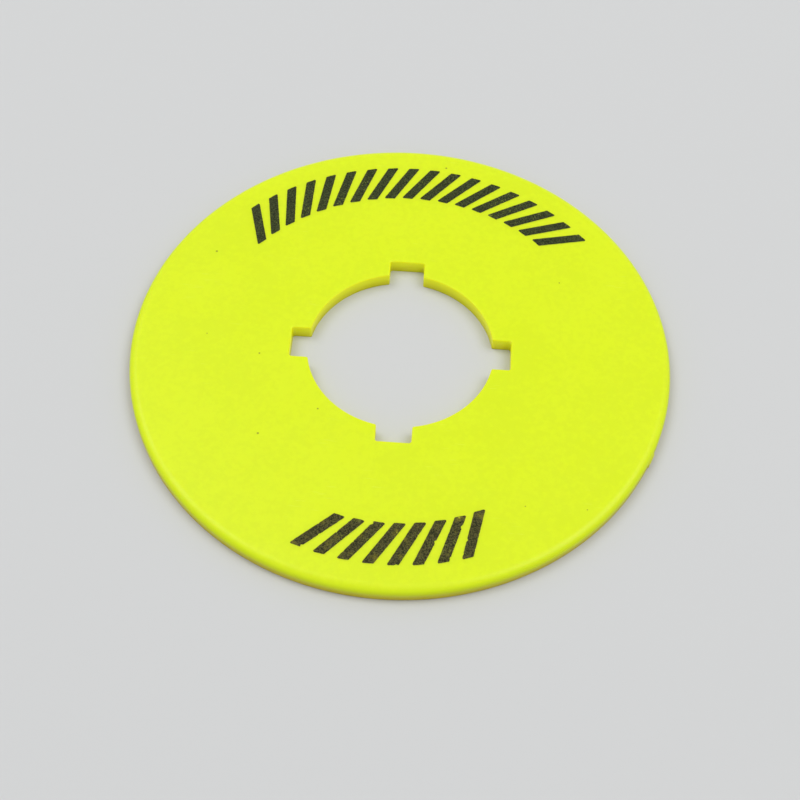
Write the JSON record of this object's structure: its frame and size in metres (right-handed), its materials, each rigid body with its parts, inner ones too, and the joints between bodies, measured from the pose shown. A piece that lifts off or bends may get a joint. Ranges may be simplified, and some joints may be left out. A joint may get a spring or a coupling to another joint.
{
  "type": "legend plate",
  "caption": "Round yellow plastic legend plate with a keyed central bore, clamped under a panel-mounted emergency-stop operator to mark it.",
  "frame": {"origin": "on the bore's axis, in the back face that lies on the control panel", "axes": "+Z along the bore's axis, out of the printed front face; +Y towards the upper print and through the middle of one notch; +X to the right as the front face is read"},
  "size_m": [0.0644, 0.0644, 0.0019],
  "materials": {
    "plate_plastic": "satin moulded plastic, fluorescent yellow",
    "print_foil": "matt black hot-stamping foil, slightly worn"
  },
  "bodies": {
    "root": {"legend_plate": "plate_plastic", "upper_print": "print_foil", "lower_print": "print_foil"}
  },
  "joints": []
}
